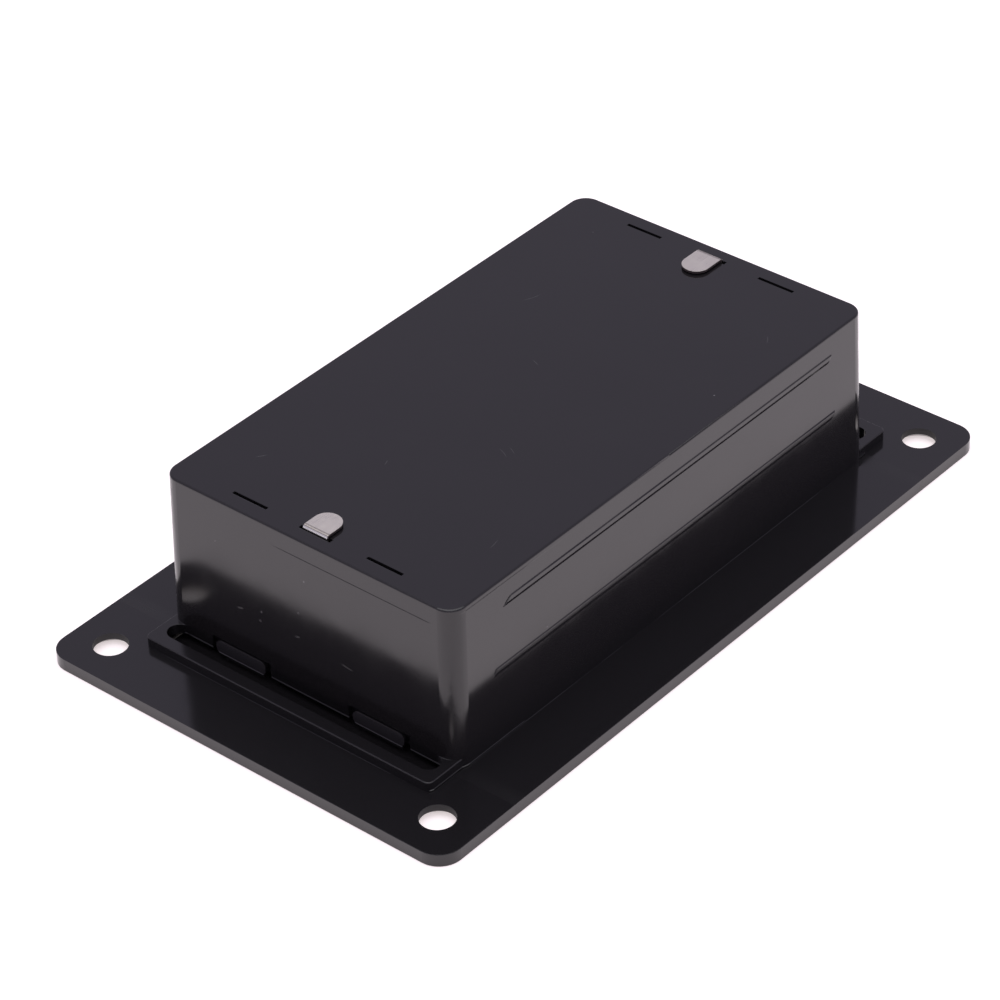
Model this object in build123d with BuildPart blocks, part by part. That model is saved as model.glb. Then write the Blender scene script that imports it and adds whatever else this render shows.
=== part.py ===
"""Panel-mount battery holder for two AA cells side by side, seen from behind.

The moulded housing is a shallow box with a screw flange around its open front. The front and its
lid face down, so the closed back of the box is on top. Millimetres. The long side of the box is
along X, and the origin is on the front face, at the middle of the part.
"""

import math
import os

from build123d import *

# Two standard cells, the room around them, and the walls of the box
cell_diameter = 14.5
cell_length = 50.5
cell_gap = 0.6
cell_side_play = 0.2
cell_head_room = 0.5
contact_room = 3.5
side_wall = 1.3
end_wall = 1.5
roof = 1.2
# How much further out than at the top each wall stands at its foot, for the mould
end_spread = 0.5
side_spread = 0.2
box_corner_radius = 1.7
bay_corner_radius = 0.8
box_edge_radius = 0.2

# Flange with four countersunk screw holes
flange_thickness = 1.2
flange_end_margin = 9.15
flange_side_margin = 6.25
flange_corner_radius = 2.25
hole_diameter = 3.2
hole_sink_diameter = 4.3
hole_inset_x = 4.05
hole_inset_y = 4.0

# Recess for the lid in the front face, and the raised pads that cover its two ends
recess_depth = 1.2
recess_corner_radius = 1.0
ledge = 0.8
pad_thickness = 1.0
pad_reach = 3.3
pad_wall = 1.2
pad_side_inset = 0.2
pad_corner_radius = 0.6
pad_edge_radius = 0.1
pad_slot_width = 2.1
pad_slot_end_wall = 0.9

# Two long shallow bands on each side wall, with a steep upper edge, a gentle lower edge and
# slanted ends. Each end's reach is measured along X from the middle of the box.
band_width = 0.8
band_height = 0.07
band_root = 0.1
band_lower_slope = 0.32
band_upper_slope = 0.13
upper_band_drop = 2.5
upper_band_near_reach = 21.1
upper_band_near_slant = 1.25
upper_band_far_reach = 22.8
lower_band_rise = 7.35
lower_band_near_reach = 23.4
lower_band_near_slant = 0.5
lower_band_far_reach = 23.4
band_far_slant = 0.5

# Rib between the two cells, under the roof
divider_width = 1.0
divider_depth = 2.5
divider_end_margin = 4.0

# Lid, its four snap tongues and its thumb recess
lid_gap = 0.25
lid_seat_gap = 0.2
lid_end_thickness = 0.5
tongue_spacing = 15.8
tongue_width = 5.7
tongue_thickness = 0.9
tongue_proud = 0.15
tongue_undercut = 0.5
tongue_head_height = 1.4
tongue_head_drop = 0.05
tongue_corner_radius = 0.6
notch_end_clearance = 0.3
notch_back_clearance = 0.1
notch_side_clearance = 0.6
notch_top_clearance = 0.15
thumb_length = 12.0
thumb_width = 5.0
thumb_depth = 0.4
thumb_margin = 4.0

# Contact plates, their solder tabs and the slots in the roof
plate_thickness = 0.25
plate_overhang = 4.8
plate_height = 10.0
plate_corner_radius = 1.0
tab_width = 2.7
negative_tab_length = 2.85
positive_tab_length = 3.5
tab_tip_flat = 0.1
tab_bend_radius = 0.1
tab_lift = 0.12
tab_slot_play = 0.4
tab_slot_width = 0.45
cell_slot_width = 0.35
cell_slot_length = 3.9
button_diameter = 5.2
button_height = 0.6
button_taper = 25.0

# Conical springs
wire_diameter = 0.5
spring_base_diameter = 9.4
spring_tip_diameter = 4.6
spring_length = 5.0
spring_turns = 3.5
spring_grind = 0.1

# Sizes that follow from the ones above
cell_y = (cell_diameter + cell_gap) / 2
bay_length = cell_length + contact_room
bay_width = 2 * cell_diameter + cell_gap + 2 * cell_side_play
ceiling = recess_depth + cell_diameter + cell_head_room
top = ceiling + roof
cell_z = ceiling - (cell_diameter + cell_head_room) / 2
box_height = top - flange_thickness
box_length = bay_length + 2 * end_wall
box_width = bay_width + 2 * side_wall
foot_length = box_length + 2 * end_spread
foot_width = box_width + 2 * side_spread
flange_length = foot_length + 2 * flange_end_margin
flange_width = foot_width + 2 * flange_side_margin
hole_spacing_x = flange_length - 2 * hole_inset_x
hole_spacing_y = flange_width - 2 * hole_inset_y
pad_length = foot_length + 2 * pad_reach
pad_width = foot_width - 2 * pad_side_inset
pad_top = recess_depth + pad_thickness
recess_length = pad_length - 2 * pad_wall
recess_width = bay_width + 2 * ledge
wall_draft = end_spread / box_height
end_face = foot_length / 2 - wall_draft * (pad_top - flange_thickness)
pad_slot_x = end_face + pad_slot_width / 2
pad_slot_length = pad_width - 2 * pad_slot_end_wall
lid_top = recess_depth - lid_seat_gap
tongue_inner = end_face + tongue_proud - tongue_thickness
tongue_y = tongue_spacing / 2
shank_width = tongue_width - 2 * tongue_corner_radius
notch_inner = tongue_inner - notch_end_clearance
notch_inner_width = shank_width + 2 * notch_end_clearance
notch_width = tongue_width + 2 * notch_side_clearance
tongue_face = end_face + tongue_proud
head_bottom = recess_depth - tongue_head_drop
head_top = head_bottom + tongue_head_height
notch_top = head_top + notch_top_clearance
notch_back = tongue_face - tongue_undercut - notch_back_clearance
plate_inner = bay_length / 2 - plate_thickness
plate_middle = bay_length / 2 - plate_thickness / 2
plate_width = 2 * (cell_y + plate_overhang)
tab_bottom = top + tab_lift
tab_top = tab_bottom + plate_thickness
tab_slot_length = tab_width + 2 * tab_slot_play
tab_tip_radius = (tab_width - tab_tip_flat) / 2
outer_bend_radius = tab_bend_radius + plate_thickness

ends = (-1, 1)


def side_face(z):
    """Distance from the middle of the box to its side wall's outer face at height z."""
    return foot_width / 2 - side_spread * (z - flange_thickness) / box_height


def side_band(near_reach, near_slant, far_reach):
    """Makes a band for the wall that faces -Y: a profile along X, with both ends cut on a slant."""
    with BuildPart() as band:
        with BuildSketch(Plane.YZ):
            with BuildLine():
                Polyline(
                    (band_root, -band_width / 2),
                    (0, -band_width / 2),
                    (-band_height, band_lower_slope - band_width / 2),
                    (-band_height, band_width / 2 - band_upper_slope),
                    (0, band_width / 2),
                    (band_root, band_width / 2),
                    close=True,
                )
            make_face()
        extrude(amount=far_reach + near_slant, both=True)
        with BuildSketch(Plane.XZ):
            with BuildLine():
                Polyline(
                    (-near_reach - near_slant, -band_width / 2),
                    (-near_reach, band_width / 2),
                    (far_reach + band_far_slant, band_width / 2),
                    (far_reach, -band_width / 2),
                    close=True,
                )
            make_face()
        extrude(amount=band_root + band_height, both=True, mode=Mode.INTERSECT)
    return band


upper_band = side_band(upper_band_near_reach, upper_band_near_slant, upper_band_far_reach)
lower_band = side_band(lower_band_near_reach, lower_band_near_slant, lower_band_far_reach)
upper_band_z = top - upper_band_drop
lower_band_z = flange_thickness + lower_band_rise

# Housing: box, flange, pads and side bands are one moulding

with BuildPart() as housing:
    with BuildSketch():
        RectangleRounded(pad_length, pad_width, pad_corner_radius)
    extrude(amount=pad_top)
    fillet(housing.faces().sort_by(Axis.Z)[-1].edges(), pad_edge_radius)

    with BuildSketch():
        RectangleRounded(flange_length, flange_width, flange_corner_radius)
    extrude(amount=flange_thickness)

    with BuildSketch(Plane.XY.offset(flange_thickness)):
        RectangleRounded(foot_length, foot_width, box_corner_radius)
    with BuildSketch(Plane.XY.offset(top)):
        RectangleRounded(box_length, box_width, box_corner_radius)
    loft()
    fillet(housing.faces().sort_by(Axis.Z)[-1].edges(), box_edge_radius)

    for band, band_z in ((upper_band, upper_band_z), (lower_band, lower_band_z)):
        with Locations((0, -side_face(band_z), band_z)):
            add(band.part)
        with Locations((0, side_face(band_z), band_z)):
            add(band.part.mirror(Plane.XZ))

    # Room for the cells, with the rib between them, and the recess for the lid
    with BuildSketch():
        RectangleRounded(bay_length, bay_width, bay_corner_radius)
    extrude(amount=ceiling, mode=Mode.SUBTRACT)
    with BuildSketch(Plane.XY.offset(ceiling)):
        Rectangle(bay_length - 2 * divider_end_margin, divider_width)
    extrude(amount=-divider_depth)
    with BuildSketch():
        RectangleRounded(recess_length, recess_width, recess_corner_radius)
    extrude(amount=recess_depth, mode=Mode.SUBTRACT)

    # Slots along the feet of the end walls, and the notches there for the lid's tongues
    with BuildSketch(Plane.XY.offset(recess_depth)):
        with Locations((-pad_slot_x, 0), (pad_slot_x, 0)):
            SlotOverall(pad_slot_length, pad_slot_width, rotation=90)
    extrude(amount=pad_thickness, mode=Mode.SUBTRACT)
    for end in ends:
        for depth, width in ((notch_back, notch_width), (notch_inner, notch_inner_width)):
            with BuildSketch(Plane.YZ.offset(end * depth)):
                with Locations((-tongue_y, recess_depth), (tongue_y, recess_depth)):
                    Rectangle(width, notch_top - recess_depth, align=(Align.CENTER, Align.MIN))
            extrude(amount=end * (tongue_face - depth), mode=Mode.SUBTRACT)

    # Slots through the roof, one for each solder tab and one above the end of each cell
    with BuildSketch(Plane.XY.offset(top)):
        for end in ends:
            with Locations((end * plate_inner, -cell_y), (end * plate_inner, cell_y)):
                Rectangle(cell_slot_width, cell_slot_length)
            with Locations((end * plate_middle, 0)):
                Rectangle(tab_slot_width, tab_slot_length)
    extrude(amount=-roof, mode=Mode.SUBTRACT)

    # Screw holes, countersunk from the front
    with Locations(-Plane.XY):
        with GridLocations(hole_spacing_x, hole_spacing_y, 2, 2):
            CounterSinkHole(hole_diameter / 2, hole_sink_diameter / 2, counter_sink_angle=90)

housing.part.label = "housing"

# Lid: a plate in the recess, thinner at both ends, with two tongues at each end

with BuildPart() as lid:
    with BuildSketch():
        RectangleRounded(
            recess_length - 2 * lid_gap, recess_width - 2 * lid_gap, recess_corner_radius - lid_gap
        )
    extrude(amount=lid_end_thickness)
    with BuildSketch(Plane.XY.offset(lid_end_thickness)):
        Rectangle(2 * notch_inner, recess_width - 2 * lid_gap)
    extrude(amount=lid_top - lid_end_thickness)
    for end in ends:
        # Each tongue stands behind the foot of the wall, and its rounded head comes out into a notch
        with BuildSketch():
            with Locations((end * tongue_inner, -tongue_y), (end * tongue_inner, tongue_y)):
                Rectangle(
                    tongue_thickness - tongue_undercut,
                    shank_width,
                    align=(Align.MIN if end > 0 else Align.MAX, Align.CENTER),
                )
        extrude(amount=head_top)
        with BuildSketch(Plane.YZ.offset(end * tongue_face)):
            with Locations((-tongue_y, head_bottom), (tongue_y, head_bottom)):
                RectangleRounded(
                    tongue_width, tongue_head_height, tongue_corner_radius,
                    align=(Align.CENTER, Align.MIN),
                )
        extrude(amount=-end * tongue_undercut)
    with BuildSketch():
        with Locations((recess_length / 2 - thumb_margin - thumb_width / 2, 0)):
            SlotOverall(thumb_length, thumb_width, rotation=90)
    extrude(amount=thumb_depth, mode=Mode.SUBTRACT)

lid.part.label = "lid"


# Contact plates: a wide plate inside each end wall, with a neck that comes out through the roof
# and is folded down over it as a solder tab


def contact_plate(end, tab_length):
    """Makes the plate at one end of the box, -1 or 1 along X, and returns its builder."""
    tab_tip = bay_length / 2 - tab_length
    with BuildPart() as plate:
        with BuildSketch(Plane.YZ.offset(end * plate_middle)):
            with Locations((0, cell_z)):
                RectangleRounded(plate_width, plate_height, plate_corner_radius)
        extrude(amount=plate_thickness / 2, both=True)
        with BuildSketch(Plane.XZ) as side_view:
            with BuildLine():
                Polyline(
                    (end * bay_length / 2, cell_z),
                    (end * bay_length / 2, tab_top),
                    (end * tab_tip, tab_top),
                    (end * tab_tip, tab_bottom),
                    (end * plate_inner, tab_bottom),
                    (end * plate_inner, cell_z),
                    close=True,
                )
            make_face()
            underside = side_view.vertices().group_by(Axis.Y)[-2]
            fillet(underside.sort_by(Axis.X, reverse=end < 0)[-1], tab_bend_radius)
            upper_side = side_view.vertices().group_by(Axis.Y)[-1]
            fillet(upper_side.sort_by(Axis.X, reverse=end < 0)[-1], outer_bend_radius)
        extrude(amount=tab_width / 2, both=True)
        upright_edges = plate.edges().filter_by(Axis.Z).sort_by(Axis.X, reverse=end < 0)
        fillet(upright_edges[:2], tab_tip_radius)
    return plate


negative_plate = contact_plate(-1, negative_tab_length)
negative_plate.part.label = "negative_plate"

bare_plate = contact_plate(1, positive_tab_length)
with BuildPart() as positive_plate:
    add(bare_plate.part)
    # Raised buttons that the tips of the cells press on
    with BuildSketch(Plane.YZ.offset(plate_inner)):
        with Locations((-cell_y, cell_z), (cell_y, cell_z)):
            Circle(button_diameter / 2)
    extrude(amount=-button_height, taper=button_taper)

positive_plate.part.label = "positive_plate"


# Springs: conical coils, widest at the plate, with a closed and ground first coil

wire_radius = wire_diameter / 2
spring_seat_x = -plate_inner
coil_start_x = spring_seat_x + wire_radius - spring_grind
coil_rise = spring_length - wire_diameter + spring_grind
coil_shrink = (spring_base_diameter - spring_tip_diameter) / 2
coil_angle = -math.degrees(math.atan2(coil_shrink, coil_rise))


def coil_spring(y):
    """Makes the spring whose axis is at y and returns its builder."""
    with BuildPart() as spring:
        with BuildLine() as coil_path:
            Helix(
                coil_rise / spring_turns,
                coil_rise,
                (spring_base_diameter - wire_diameter) / 2,
                center=(coil_start_x, y, cell_z),
                direction=(1, 0, 0),
                cone_angle=coil_angle,
            )
        with BuildSketch(Plane(origin=coil_path.line @ 0, z_dir=coil_path.line % 0)):
            Circle(wire_radius)
        sweep(is_frenet=True)
        with Locations(Plane(origin=(coil_start_x, y, cell_z), z_dir=(1, 0, 0))):
            Torus((spring_base_diameter - wire_diameter) / 2, wire_radius)
        split(bisect_by=Plane.YZ.offset(spring_seat_x), keep=Keep.TOP)
    return spring


spring_left = coil_spring(cell_y)
spring_left.part.label = "spring_left"
spring_right = coil_spring(-cell_y)
spring_right.part.label = "spring_right"

os.makedirs("parts", exist_ok=True)
for piece in (housing, lid, negative_plate, positive_plate, spring_left, spring_right):
    export_step(piece.part, f"parts/{piece.part.label}.step")
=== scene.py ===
"""Battery holder box of black moulded plastic, lying with its front down on a white studio floor.

Every shape of the part comes from the frame. This script gives the pieces their finishes and adds
the floor, the light and the camera. Lengths are in metres, in the part's own frame: X runs along
the box, Y across it and Z up from the front face to the closed back.
"""

import math

import bmesh
import bpy
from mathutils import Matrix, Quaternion, Vector


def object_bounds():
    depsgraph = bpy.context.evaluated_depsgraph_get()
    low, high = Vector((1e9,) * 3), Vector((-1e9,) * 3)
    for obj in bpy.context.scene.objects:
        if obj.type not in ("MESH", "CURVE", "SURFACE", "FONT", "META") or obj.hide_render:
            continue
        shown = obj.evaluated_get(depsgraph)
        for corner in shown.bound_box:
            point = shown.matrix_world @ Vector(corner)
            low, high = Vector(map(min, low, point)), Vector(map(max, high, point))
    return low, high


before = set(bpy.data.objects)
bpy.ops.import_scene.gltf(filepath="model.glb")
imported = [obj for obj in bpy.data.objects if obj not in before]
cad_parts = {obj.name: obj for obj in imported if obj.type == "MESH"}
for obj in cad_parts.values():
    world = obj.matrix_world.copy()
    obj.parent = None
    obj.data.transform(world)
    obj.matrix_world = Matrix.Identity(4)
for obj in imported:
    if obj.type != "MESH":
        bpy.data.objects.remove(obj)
cad_low, cad_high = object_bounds()

MM = 0.001

# Camera, as it stood for the photograph, with its lens and sensor in Blender's millimetres
CAMERA_PLACE = Vector((-217.03, -186.94, 212.57)) * MM
CAMERA_AZIMUTH = math.radians(311.2)
CAMERA_ELEVATION = math.radians(35.86)
CAMERA_ROLL = math.radians(-2.1)
CAMERA_LENS = 142.97
CAMERA_SENSOR = 36.0
CAMERA_NEAR = 0.01
CAMERA_FAR = 10.0

# Studio
FLOOR_SIZE = 3.0
FLOOR_DROP = 0.05 * MM
FLOOR_COLOUR = (0.88, 0.85, 0.85, 1.0)
FLOOR_ROUGHNESS = 0.8
FLOOR_SHINE = 0.2
FLOOR_GLOW_COLOUR = (1.0, 0.9, 0.9, 1.0)
FLOOR_GLOW = 0.62
SKY_COLOUR = (0.97, 0.9, 1.12, 1.0)
SKY_STRENGTH = 0.44
SOFTBOX_SIZE = 0.9
SOFTBOX_HEIGHT = 0.8
SOFTBOX_POWER = 3.5

# Colours of the finishes
ABS_BLACK = (0.0115, 0.0107, 0.0117, 1.0)
# Painted light: the paler face of each of the lid's tongue heads
ABS_HEAD_PAINTED_LIGHT = (0.034, 0.032, 0.035, 1.0)
ABS_DUST = (0.16, 0.155, 0.16, 1.0)
PLATING = (0.86, 0.82, 0.72, 1.0)
# Painted highlight along the fold of each solder tab
PLATING_PAINTED_HIGHLIGHT = (1.0, 1.0, 0.93, 1.0)
# Painted shade on the solder tabs' sides and in the line beside each fold
TAB_PAINTED_SHADE = (0.16, 0.13, 0.13, 1.0)
SPRING_STEEL = (0.6, 0.58, 0.57, 1.0)
MARK_PALENESS = 0.22
# How strong the painted shade line beside each fold is
CREASE_PAINTED_SHADE = 0.75
ABS_IOR = 1.53

# Roughness of the finishes, from their glossiest patches to their dullest
BOX_ROUGHNESS = (0.085, 0.13)
LID_ROUGHNESS = (0.1, 0.15)
PLATE_ROUGHNESS = (0.26, 0.36)
WIRE_ROUGHNESS = (0.2, 0.34)
HOLE_ROUGHNESS = 0.6

# What single features add to the roughness
END_WALL_DULLING = 0.04
CORNER_DULLING = 0.12
MARK_DULLING = 0.3
SHEARED_DULLING = 0.3
FOLD_DULLING = -0.12
ROLLING_DULLING = (-0.03, 0.03)

# Patches and lines in the finishes: features per metre and detail
ABS_PATCHES = (240.0, 4.0)
EDGE_PATCHES = (150.0, 2.0)
PLATING_PATCHES = (700.0, 4.0)
WIRE_PATCHES = (1500.0, 3.0)
ROLLING_LINES = (9000.0, 2.0)
ROLLING_STRETCH = (12.0, 1.0, 12.0)
DUST_SPECKS = 420.0

# The spans of those patterns that the finishes use
PATCH_SPAN = (0.3, 0.7)
EDGE_SPAN = (0.4, 0.56)
ROLLING_SPAN = (0.35, 0.65)
SPECK_SPAN = (0.02, 0.045)
SPECK_CHOICE = (0.9, 0.91)

# Waves in the surfaces: features per metre and detail, then height and strength
SLOW_WAVES = ((55.0, 1.0), (0.35 * MM, 0.3))
FINE_WAVES = ((420.0, 1.0), (0.01 * MM, 0.35))
LID_WAVES = ((150.0, 1.0), (0.05 * MM, 0.3))

# Fine relief: height and strength
LINE_RELIEF = (0.08 * MM, 1.0)
MARK_RELIEF = (-0.02 * MM, 0.4)
ROLLING_RELIEF = (0.004 * MM, 0.12)

# Edges that catch the light: their radius and how much of it shows, from patch to patch
MOULD_EDGE = 0.1 * MM
MOULD_EDGE_SHARE = (0.2, 1.0)
SHEARED_EDGE = 0.03 * MM
SHEARED_EDGE_SHARE = (0.7, 1.0)
EDGE_SAMPLES = 6

# The box's half length and half width at its foot and at its back, worked out from the part's size
FOOT_X = cad_high.x - 9.15 * MM
FOOT_Y = cad_high.y - 6.25 * MM
BACK_X = FOOT_X - 0.5 * MM
BACK_Y = FOOT_Y - 0.2 * MM

# Screw holes, solder tabs, the box's back and the lid's tongues, worked out in the same way
HOLE_X = cad_high.x - 4.05 * MM
HOLE_Y = cad_high.y - 4.0 * MM
HOLE_WALL = 1.62 * MM
TAB_TOP = cad_high.z
BOX_TOP = TAB_TOP - 0.37 * MM
FOLD_X = BACK_X - 1.66 * MM
HEAD_FACE_X = FOOT_X + 0.05 * MM
LID_END_TOP = 0.5 * MM

# Where masks begin and end
END_SPAN = (BACK_X - 0.6 * MM, BACK_X - 0.3 * MM)
SIDE_SPAN = (BACK_Y - 0.2 * MM, BACK_Y - 0.1 * MM)
CORNER_SPAN_X = (BACK_X - 1.3 * MM, BACK_X - 0.8 * MM)
CORNER_SPAN_Y = (BACK_Y - 0.9 * MM, BACK_Y - 0.4 * MM)
PAST_CORNER_SPAN = (FOOT_X + 0.06 * MM, FOOT_X + 0.11 * MM)
NEAR_BACK_SPAN = (BOX_TOP - 3.0 * MM, BOX_TOP - 2.0 * MM)
HOLE_SPAN = (HOLE_WALL, HOLE_WALL + 0.02 * MM)
HEAD_SPAN_X = (HEAD_FACE_X - 0.05 * MM, HEAD_FACE_X)
HEAD_SPAN_Z = (LID_END_TOP + 0.1 * MM, LID_END_TOP + 0.2 * MM)
FOLD_SPAN = (FOLD_X, FOLD_X + 0.08 * MM)
TAB_SPAN = (BOX_TOP, BOX_TOP + 0.02 * MM)
TAB_TOP_SPAN = (TAB_TOP - 0.06 * MM, TAB_TOP - 0.03 * MM)

# Where the box's edges catch less light, and the share that is left there
FAR_WEAR = ((BACK_X - 8.5 * MM, BACK_X - 2.5 * MM), (1.0, 0.15))
SIDE_WEAR = ((BACK_Y - 1.1 * MM, BACK_Y - 0.5 * MM), (1.0, 0.1))

# Parting lines near the back: width, share of the relief, fading, height and reach along the walls
SEAM_WIDTH = 0.12 * MM
SEAM_SHARE = 0.5
SEAM_FADE = (0.3, 0.0)
END_SEAM_Z = BOX_TOP - 1.8 * MM
END_SEAM_START = (-BACK_Y + 1.7 * MM, -BACK_Y + 3.1 * MM)
END_SEAM_END = (1.0 * MM, 6.0 * MM)
SIDE_SEAM_Z = BOX_TOP - 0.45 * MM
SIDE_SEAM_END = (-BACK_X + 8.5 * MM, -BACK_X + 20.5 * MM)

# Thin ridges along the feet of the walls and of the lid's tongues
RIDGE_Z = 1.3 * MM
HEAD_RIDGE_Z = 1.24 * MM
RIDGE_WIDTH = 0.2 * MM
END_RIDGE_LIMIT = (FOOT_X + 0.01 * MM, FOOT_X + 0.04 * MM)
SIDE_RIDGE_LIMIT = (FOOT_Y + 0.01 * MM, FOOT_Y + 0.05 * MM)
SIDE_RIDGE_END = (-BACK_X + 7.0 * MM, -BACK_X + 8.5 * MM)
SIDE_RIDGE_GAIN = 2.5

# Painted shade: a dark line beside the fold of each solder tab
CREASE_X = FOLD_X - 0.14 * MM
CREASE_WIDTH = 0.3 * MM

# Handling marks on the back, in millimetres and degrees: X, Y, the turn about Z, length and width
BACK_MARKS = (
    (-15.6, 2.1, 20.0, 0.8, 0.07),
    (-8.4, -4.9, 65.0, 1.6, 0.05),
    (-7.7, -5.3, 62.0, 1.2, 0.05),
    (3.9, 1.7, 70.0, 1.1, 0.06),
    (19.2, -12.3, 35.0, 1.3, 0.06),
    (-21.4, 11.2, -35.0, 1.2, 0.06),
    (-18.9, -12.7, 10.0, 1.5, 0.05),
    (11.8, 8.6, -20.0, 2.1, 0.04),
)

# The same on the near end wall: Y, Z, the turn about X, length and width
END_MARKS = (
    (7.7, 7.2, -12.0, 0.9, 0.12),
    (5.4, 6.9, 30.0, 0.35, 0.14),
    (1.1, 7.2, -15.0, 0.7, 0.12),
    (-4.5, 6.6, 8.0, 1.6, 0.11),
)
END_MARK_X = -BACK_X - 0.3 * MM

# How the marks bow, where they fade as shares of their length, and how far they reach off the surface
MARK_BOW = 120.0
MARK_FADE = (0.2, 0.5)
MARK_REACH = (0.4 * MM, 0.6 * MM)

# What a ramp gives from the start of its span to the end
RISING = (0.0, 1.0)
FALLING = (1.0, 0.0)


def material(name):
    """An empty procedural material with its node tree and its shader."""
    made = bpy.data.materials.new(name)
    made.use_nodes = True
    tree = made.node_tree
    return made, tree, tree.nodes["Principled BSDF"]


def object_place(tree):
    """The point on the surface, in the part's own frame."""
    return tree.nodes.new("ShaderNodeTexCoord").outputs["Object"]


def mapped(tree, vector, place=(0.0, 0.0, 0.0), turn=(0.0, 0.0, 0.0), scale=(1.0, 1.0, 1.0)):
    """Coordinates centred on a place, turned and then scaled."""
    node = tree.nodes.new("ShaderNodeMapping")
    node.vector_type = "TEXTURE"
    node.inputs["Location"].default_value = place
    node.inputs["Rotation"].default_value = turn
    node.inputs["Scale"].default_value = scale
    tree.links.new(vector, node.inputs["Vector"])
    return node.outputs["Vector"]


def axes(tree, vector):
    """The three numbers of a vector."""
    node = tree.nodes.new("ShaderNodeSeparateXYZ")
    tree.links.new(vector, node.inputs["Vector"])
    return node.outputs["X"], node.outputs["Y"], node.outputs["Z"]


def math_node(tree, operation, first, second=None):
    """One sum on one or two values, each a socket or a number."""
    node = tree.nodes.new("ShaderNodeMath")
    node.operation = operation
    for socket, value in zip(node.inputs, (first, second)):
        if isinstance(value, (int, float)):
            socket.default_value = value
        elif value is not None:
            tree.links.new(value, socket)
    return node.outputs["Value"]


def carried(tree, operation, first, *others):
    """One kind of sum carried on over any number of values."""
    total = first
    for other in others:
        total = math_node(tree, operation, total, other)
    return total


def times(tree, first, *others):
    """The product of some values."""
    return carried(tree, "MULTIPLY", first, *others)


def plus(tree, first, *others):
    """The sum of some values."""
    return carried(tree, "ADD", first, *others)


def most(tree, first, *others):
    """The largest of some values."""
    return carried(tree, "MAXIMUM", first, *others)


def minus(tree, first, second):
    """One value less another."""
    return math_node(tree, "SUBTRACT", first, second)


def size_of(tree, value):
    """A value without its sign."""
    return math_node(tree, "ABSOLUTE", value)


def noise(tree, vector, pattern):
    """A noise texture on the given coordinates, with the pattern's features per metre and detail."""
    per_metre, detail = pattern
    node = tree.nodes.new("ShaderNodeTexNoise")
    node.inputs["Scale"].default_value = per_metre
    node.inputs["Detail"].default_value = detail
    tree.links.new(vector, node.inputs["Vector"])
    return node.outputs["Fac"]


def ramp(tree, value, span, results=RISING):
    """Maps a span of a value onto two results and stays between them."""
    node = tree.nodes.new("ShaderNodeMapRange")
    node.inputs["From Min"].default_value = span[0]
    node.inputs["From Max"].default_value = span[1]
    node.inputs["To Min"].default_value = results[0]
    node.inputs["To Max"].default_value = results[1]
    tree.links.new(value, node.inputs["Value"])
    return node.outputs["Result"]


def mixed_colour(tree, share, first, second):
    """A colour between two by a share from 0 to 1. The first is a socket or a colour."""
    node = tree.nodes.new("ShaderNodeMix")
    node.data_type = "RGBA"
    if isinstance(first, tuple):
        node.inputs["A"].default_value = first
    else:
        tree.links.new(first, node.inputs["A"])
    node.inputs["B"].default_value = second
    tree.links.new(share, node.inputs["Factor"])
    return node.outputs["Result"]


def bump(tree, pattern, relief, normal=None):
    """A bump on the given pattern, on top of another bump where one is given."""
    height, strength = relief
    node = tree.nodes.new("ShaderNodeBump")
    node.inputs["Distance"].default_value = height
    node.inputs["Strength"].default_value = strength
    tree.links.new(pattern, node.inputs["Height"])
    if normal is not None:
        tree.links.new(normal, node.inputs["Normal"])
    return node.outputs["Normal"]


def waves(tree, place, kind, normal=None):
    """Soft waves of one kind in the surface."""
    pattern, relief = kind
    return bump(tree, noise(tree, place, pattern), relief, normal)


def rounded_edges(tree, radius, share):
    """Normals that turn softly over sharp edges, as a small rounding does, by a share from 0 to 1."""
    node = tree.nodes.new("ShaderNodeBevel")
    node.samples = EDGE_SAMPLES
    node.inputs["Radius"].default_value = radius
    mix = tree.nodes.new("ShaderNodeMix")
    mix.data_type = "VECTOR"
    tree.links.new(share, mix.inputs["Factor"])
    plain = tree.nodes.new("ShaderNodeNewGeometry").outputs["Normal"]
    tree.links.new(plain, mix.inputs["A"])
    tree.links.new(node.outputs["Normal"], mix.inputs["B"])
    return mix.outputs["Result"]


def line_at(tree, value, middle, width):
    """1 where a value is at the middle of a line of that width, 0 outside it."""
    off = size_of(tree, minus(tree, value, middle))
    return ramp(tree, off, (0.0, width / 2), FALLING)


def mark(tree, along, across, depth, length, width):
    """One short thin scratch, slightly bowed, as a mask on coordinates centred on it."""
    bow = times(tree, along, along, MARK_BOW)
    off = size_of(tree, minus(tree, across, bow))
    ends = ramp(tree, size_of(tree, along), (length * MARK_FADE[0], length * MARK_FADE[1]), FALLING)
    sides = ramp(tree, off, (0.0, width), FALLING)
    near = ramp(tree, size_of(tree, depth), MARK_REACH, FALLING)
    return times(tree, ends, sides, near)


def handling_marks(tree, place):
    """All the scratches on the back and on the near end wall, as a mask."""
    found = []
    for x, y, angle, length, width in BACK_MARKS:
        centred = mapped(tree, place, (x * MM, y * MM, BOX_TOP), (0.0, 0.0, math.radians(angle)))
        along, across, depth = axes(tree, centred)
        found.append(mark(tree, along, across, depth, length * MM, width * MM))
    for y, z, angle, length, width in END_MARKS:
        centred = mapped(tree, place, (END_MARK_X, y * MM, z * MM), (math.radians(angle), 0.0, 0.0))
        depth, along, across = axes(tree, centred)
        found.append(mark(tree, along, across, depth, length * MM, width * MM))
    return most(tree, *found)


def dust(tree, place):
    """A few specks of dust, as a mask."""
    node = tree.nodes.new("ShaderNodeTexVoronoi")
    node.inputs["Scale"].default_value = DUST_SPECKS
    tree.links.new(place, node.inputs["Vector"])
    speck = ramp(tree, node.outputs["Distance"], SPECK_SPAN, FALLING)
    kept = ramp(tree, axes(tree, node.outputs["Color"])[0], SPECK_CHOICE)
    return times(tree, speck, kept)


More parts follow.
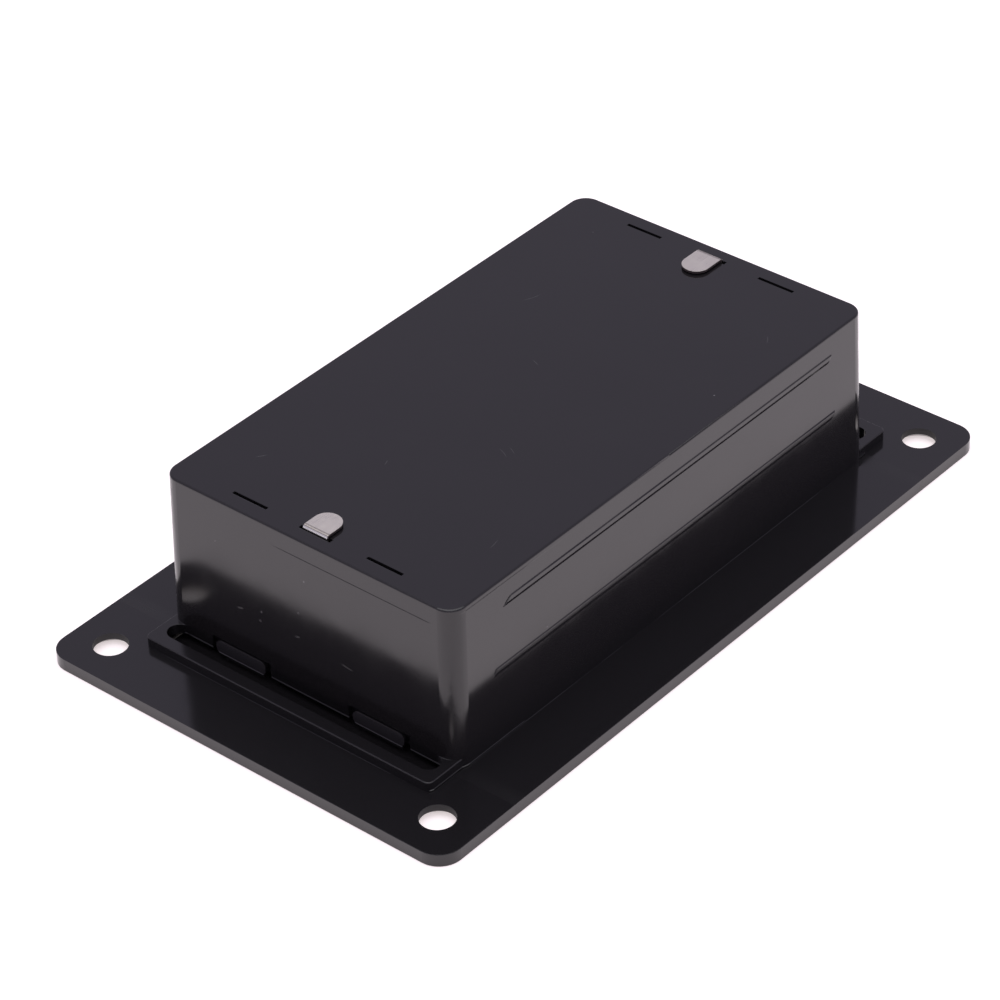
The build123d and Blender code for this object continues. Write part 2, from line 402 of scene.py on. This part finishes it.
def in_screw_hole(tree, x, y):
    """1 on the walls of the screw holes and 0 elsewhere."""
    off_x = minus(tree, size_of(tree, x), HOLE_X)
    off_y = minus(tree, size_of(tree, y), HOLE_Y)
    square = plus(tree, times(tree, off_x, off_x), times(tree, off_y, off_y))
    return ramp(tree, math_node(tree, "SQRT", square), HOLE_SPAN, FALLING)


def on_corner(tree, x, y):
    """1 on the box's four rounded upright corners and 0 elsewhere."""
    out_x = size_of(tree, x)
    along = ramp(tree, out_x, CORNER_SPAN_X)
    across = ramp(tree, size_of(tree, y), CORNER_SPAN_Y)
    on_box = ramp(tree, out_x, PAST_CORNER_SPAN, FALLING)
    return times(tree, along, across, on_box)


def seams(tree, x, y, z):
    """The moulding's parting lines near the back, on the end and side walls, as a mask."""
    on_end = times(
        tree,
        line_at(tree, z, END_SEAM_Z, SEAM_WIDTH),
        ramp(tree, size_of(tree, x), END_SPAN),
        ramp(tree, y, END_SEAM_END, SEAM_FADE),
        ramp(tree, y, END_SEAM_START),
    )
    on_side = times(
        tree,
        line_at(tree, z, SIDE_SEAM_Z, SEAM_WIDTH),
        ramp(tree, size_of(tree, y), SIDE_SPAN),
        ramp(tree, x, SIDE_SEAM_END, SEAM_FADE),
    )
    return times(tree, most(tree, on_end, on_side), SEAM_SHARE)


def foot_ridges(tree, x, y, z):
    """The thin ridges along the feet of the end and side walls, as a mask."""
    out_x = size_of(tree, x)
    out_y = size_of(tree, y)
    on_end = times(
        tree,
        line_at(tree, z, RIDGE_Z, RIDGE_WIDTH),
        ramp(tree, out_x, END_SPAN),
        ramp(tree, out_x, END_RIDGE_LIMIT, FALLING),
    )
    on_side = times(
        tree,
        line_at(tree, z, RIDGE_Z, RIDGE_WIDTH),
        ramp(tree, out_y, SIDE_SPAN),
        ramp(tree, x, SIDE_RIDGE_END, FALLING),
        ramp(tree, out_y, SIDE_RIDGE_LIMIT, FALLING),
        SIDE_RIDGE_GAIN,
    )
    return most(tree, on_end, on_side)


def moulded_abs():
    """Black ABS out of a polished mould: crisp gloss with slow waves, seams and light wear."""
    made, tree, shader = material("moulded_abs")
    place = object_place(tree)
    x, y, z = axes(tree, place)
    marks = handling_marks(tree, place)
    corner = on_corner(tree, x, y)

    gloss = plus(
        tree,
        ramp(tree, noise(tree, place, ABS_PATCHES), PATCH_SPAN, BOX_ROUGHNESS),
        times(tree, ramp(tree, size_of(tree, x), END_SPAN), END_WALL_DULLING),
        times(tree, marks, MARK_DULLING),
        times(tree, corner, CORNER_DULLING),
    )
    gloss = most(tree, gloss, times(tree, in_screw_hole(tree, x, y), HOLE_ROUGHNESS))
    tree.links.new(gloss, shader.inputs["Roughness"])

    pale = most(tree, dust(tree, place), times(tree, marks, MARK_PALENESS))
    tree.links.new(mixed_colour(tree, pale, ABS_BLACK, ABS_DUST), shader.inputs["Base Color"])

    lower_corner = times(tree, corner, ramp(tree, z, NEAR_BACK_SPAN, FALLING))
    crisp = times(
        tree,
        ramp(tree, noise(tree, place, EDGE_PATCHES), EDGE_SPAN, MOULD_EDGE_SHARE),
        ramp(tree, x, *FAR_WEAR),
        ramp(tree, y, *SIDE_WEAR),
        minus(tree, 1.0, lower_corner),
    )
    normal = rounded_edges(tree, MOULD_EDGE, crisp)
    normal = waves(tree, place, SLOW_WAVES, normal)
    normal = waves(tree, place, FINE_WAVES, normal)
    lines = most(tree, seams(tree, x, y, z), foot_ridges(tree, x, y, z))
    normal = bump(tree, lines, LINE_RELIEF, normal)
    normal = bump(tree, marks, MARK_RELIEF, normal)
    tree.links.new(normal, shader.inputs["Normal"])
    shader.inputs["IOR"].default_value = ABS_IOR
    return made


def lid_abs():
    """The lid's black ABS: the same gloss, a painted lighter face on each tongue's head, and a thin
    ridge.
    """
    made, tree, shader = material("lid_abs")
    place = object_place(tree)
    x, y, z = axes(tree, place)
    gloss = ramp(tree, noise(tree, place, ABS_PATCHES), PATCH_SPAN, LID_ROUGHNESS)
    tree.links.new(gloss, shader.inputs["Roughness"])

    at_face = ramp(tree, size_of(tree, x), HEAD_SPAN_X)
    # Painted light: the whole face of each tongue head is made paler in the base colour
    head_painted_light = times(tree, at_face, ramp(tree, z, HEAD_SPAN_Z))
    tree.links.new(mixed_colour(tree, head_painted_light, ABS_BLACK, ABS_HEAD_PAINTED_LIGHT), shader.inputs["Base Color"])

    ridge = times(tree, line_at(tree, z, HEAD_RIDGE_Z, RIDGE_WIDTH), at_face)
    normal = waves(tree, place, LID_WAVES)
    normal = bump(tree, ridge, LINE_RELIEF, normal)
    tree.links.new(normal, shader.inputs["Normal"])
    shader.inputs["IOR"].default_value = ABS_IOR
    return made


def plated_steel():
    """Nickel-plated strip: rolling lines along it, a painted highlight along the fold of each tab, dull
    sides darkened with painted shade, and a painted shade line beside each fold.
    """
    made, tree, shader = material("plated_steel")
    place = object_place(tree)
    x, y, z = axes(tree, place)
    out_x = size_of(tree, x)
    lines = noise(tree, mapped(tree, place, scale=ROLLING_STRETCH), ROLLING_LINES)
    patches = noise(tree, place, PLATING_PATCHES)
    on_tab = ramp(tree, z, TAB_SPAN)
    fold = ramp(tree, out_x, FOLD_SPAN)
    # Painted shade on the tabs' sides below their top face, which are also duller
    dull_shaded_sides = times(tree, ramp(tree, z, TAB_TOP_SPAN, FALLING), on_tab, minus(tree, 1.0, fold))
    crease_painted_shade = times(tree, line_at(tree, out_x, CREASE_X, CREASE_WIDTH), on_tab, CREASE_PAINTED_SHADE)

    gloss = plus(
        tree,
        ramp(tree, patches, PATCH_SPAN, PLATE_ROUGHNESS),
        ramp(tree, lines, ROLLING_SPAN, ROLLING_DULLING),
        times(tree, fold, FOLD_DULLING),
        times(tree, dull_shaded_sides, SHEARED_DULLING),
    )
    tree.links.new(gloss, shader.inputs["Roughness"])

    # Painted highlight: the fold is made near white in the base colour
    bright = mixed_colour(tree, fold, PLATING, PLATING_PAINTED_HIGHLIGHT)
    # Painted shade: the tabs' sides and the line beside each fold are darkened in the base colour
    colour = mixed_colour(tree, most(tree, dull_shaded_sides, crease_painted_shade), bright, TAB_PAINTED_SHADE)
    tree.links.new(colour, shader.inputs["Base Color"])

    crisp = ramp(tree, patches, PATCH_SPAN, SHEARED_EDGE_SHARE)
    normal = rounded_edges(tree, SHEARED_EDGE, crisp)
    normal = bump(tree, lines, ROLLING_RELIEF, normal)
    tree.links.new(normal, shader.inputs["Normal"])
    shader.inputs["Metallic"].default_value = 1.0
    return made


def spring_wire():
    """Bright drawn wire."""
    made, tree, shader = material("spring_wire")
    gloss = ramp(tree, noise(tree, object_place(tree), WIRE_PATCHES), PATCH_SPAN, WIRE_ROUGHNESS)
    tree.links.new(gloss, shader.inputs["Roughness"])
    shader.inputs["Base Color"].default_value = SPRING_STEEL
    shader.inputs["Metallic"].default_value = 1.0
    return made


def dress(piece, finish):
    """Gives the whole piece one finish."""
    piece.data.materials.clear()
    piece.data.materials.append(finish)


def white_floor():
    """Glowing white card, clear from below so that the front face and the lid can be seen."""
    made, tree, shader = material("white_floor")
    shader.inputs["Base Color"].default_value = FLOOR_COLOUR
    shader.inputs["Roughness"].default_value = FLOOR_ROUGHNESS
    shader.inputs["Specular IOR Level"].default_value = FLOOR_SHINE
    shader.inputs["Emission Color"].default_value = FLOOR_GLOW_COLOUR
    shader.inputs["Emission Strength"].default_value = FLOOR_GLOW
    clear = tree.nodes.new("ShaderNodeBsdfTransparent")
    sides = tree.nodes.new("ShaderNodeMixShader")
    under = tree.nodes.new("ShaderNodeNewGeometry").outputs["Backfacing"]
    tree.links.new(under, sides.inputs["Fac"])
    tree.links.new(shader.outputs["BSDF"], sides.inputs[1])
    tree.links.new(clear.outputs["BSDF"], sides.inputs[2])
    tree.links.new(sides.outputs["Shader"], tree.nodes["Material Output"].inputs["Surface"])
    return made


def studio():
    """White floor a hair below the part, plain sky and one large softbox overhead."""
    mesh = bpy.data.meshes.new("studio_floor")
    shape = bmesh.new()
    bmesh.ops.create_grid(shape, x_segments=1, y_segments=1, size=FLOOR_SIZE / 2)
    shape.to_mesh(mesh)
    shape.free()
    mesh.materials.append(white_floor())
    floor = bpy.data.objects.new("studio_floor", mesh)
    floor.location.z = -FLOOR_DROP
    bpy.context.scene.collection.objects.link(floor)

    world = bpy.data.worlds.new("studio")
    world.use_nodes = True
    sky = world.node_tree.nodes["Background"]
    sky.inputs["Color"].default_value = SKY_COLOUR
    sky.inputs["Strength"].default_value = SKY_STRENGTH
    bpy.context.scene.world = world

    light = bpy.data.lights.new("softbox", "AREA")
    light.shape = "SQUARE"
    light.size = SOFTBOX_SIZE
    light.energy = SOFTBOX_POWER
    lamp = bpy.data.objects.new("softbox", light)
    lamp.location = (0.0, 0.0, SOFTBOX_HEIGHT)
    bpy.context.scene.collection.objects.link(lamp)


def camera():
    """The camera at the photograph's place, angle and lens."""
    data = bpy.data.cameras.new("camera")
    data.lens = CAMERA_LENS
    data.sensor_width = CAMERA_SENSOR
    data.clip_start = CAMERA_NEAR
    data.clip_end = CAMERA_FAR
    made = bpy.data.objects.new("camera", data)
    back = Vector((
        math.sin(CAMERA_AZIMUTH) * math.cos(CAMERA_ELEVATION),
        -math.cos(CAMERA_AZIMUTH) * math.cos(CAMERA_ELEVATION),
        math.sin(CAMERA_ELEVATION),
    ))
    level = (-back).to_track_quat("-Z", "Y")
    made.rotation_mode = "QUATERNION"
    made.rotation_quaternion = level @ Quaternion((0.0, 0.0, 1.0), CAMERA_ROLL)
    made.location = CAMERA_PLACE
    bpy.context.scene.collection.objects.link(made)
    bpy.context.scene.camera = made


camera()
studio()

black = moulded_abs()
lid_black = lid_abs()
steel = plated_steel()
wire = spring_wire()
for name, finish in (
    ("housing", black),
    ("lid", lid_black),
    ("negative_plate", steel),
    ("positive_plate", steel),
    ("spring_left", wire),
    ("spring_right", wire),
):
    dress(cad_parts[name], finish)

bpy.context.scene.view_settings.view_transform = "Standard"
bpy.context.scene.view_settings.look = "None"
